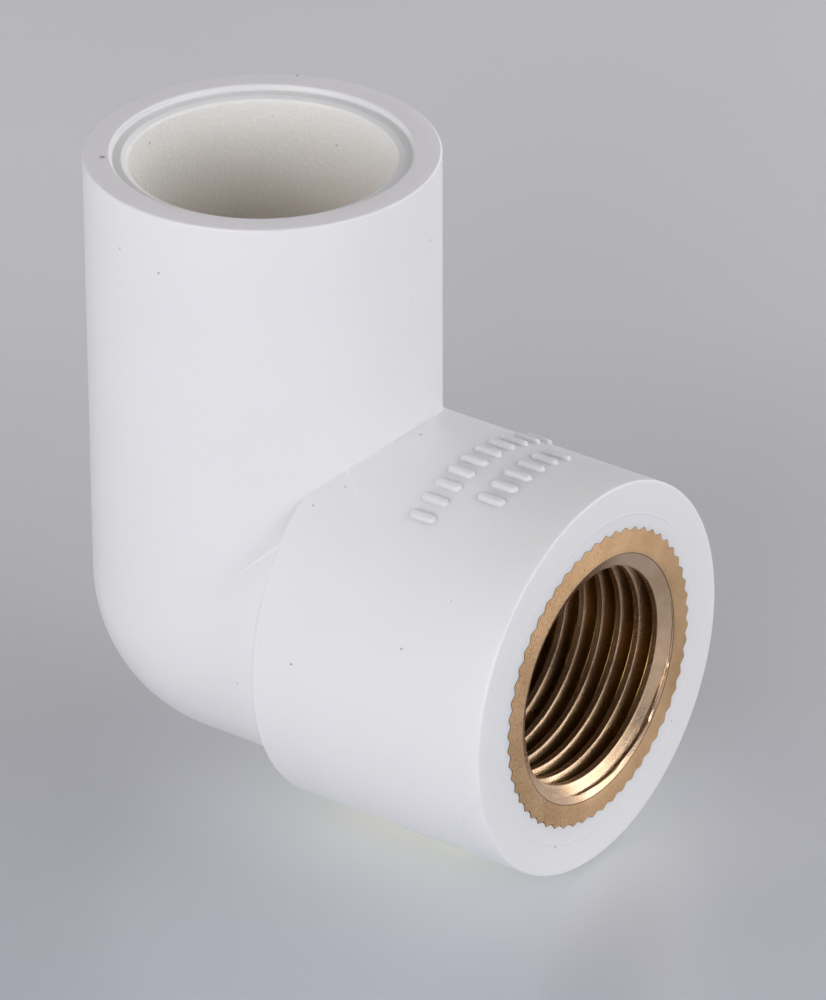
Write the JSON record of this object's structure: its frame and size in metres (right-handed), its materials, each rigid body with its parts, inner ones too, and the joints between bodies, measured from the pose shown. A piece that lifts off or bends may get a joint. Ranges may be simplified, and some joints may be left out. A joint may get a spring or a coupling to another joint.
{
  "type": "pipe elbow fitting",
  "caption": "Rigid plastic 90 degree pipe elbow with a plain solvent socket on one leg and a brass female-threaded insert in a thick collar on the other.",
  "frame": {"origin": "crossing point of the socket axis and the thread axis, at the middle of the bend", "axes": "+Z along the socket axis out of the plain socket; +X along the thread axis out of the brass insert; the fitting is mirror-symmetric about y = 0"},
  "size_m": [0.0476, 0.0332, 0.0546],
  "materials": {
    "white_pvc": "smooth satin-gloss moulded white",
    "machined_brass": "turned, satin",
    "seal_rubber": "matt black"
  },
  "bodies": {
    "root": {"elbow_body": "white_pvc", "brass_insert": "machined_brass", "seal_ring_front": "seal_rubber", "seal_ring_rear": "seal_rubber"}
  },
  "joints": []
}
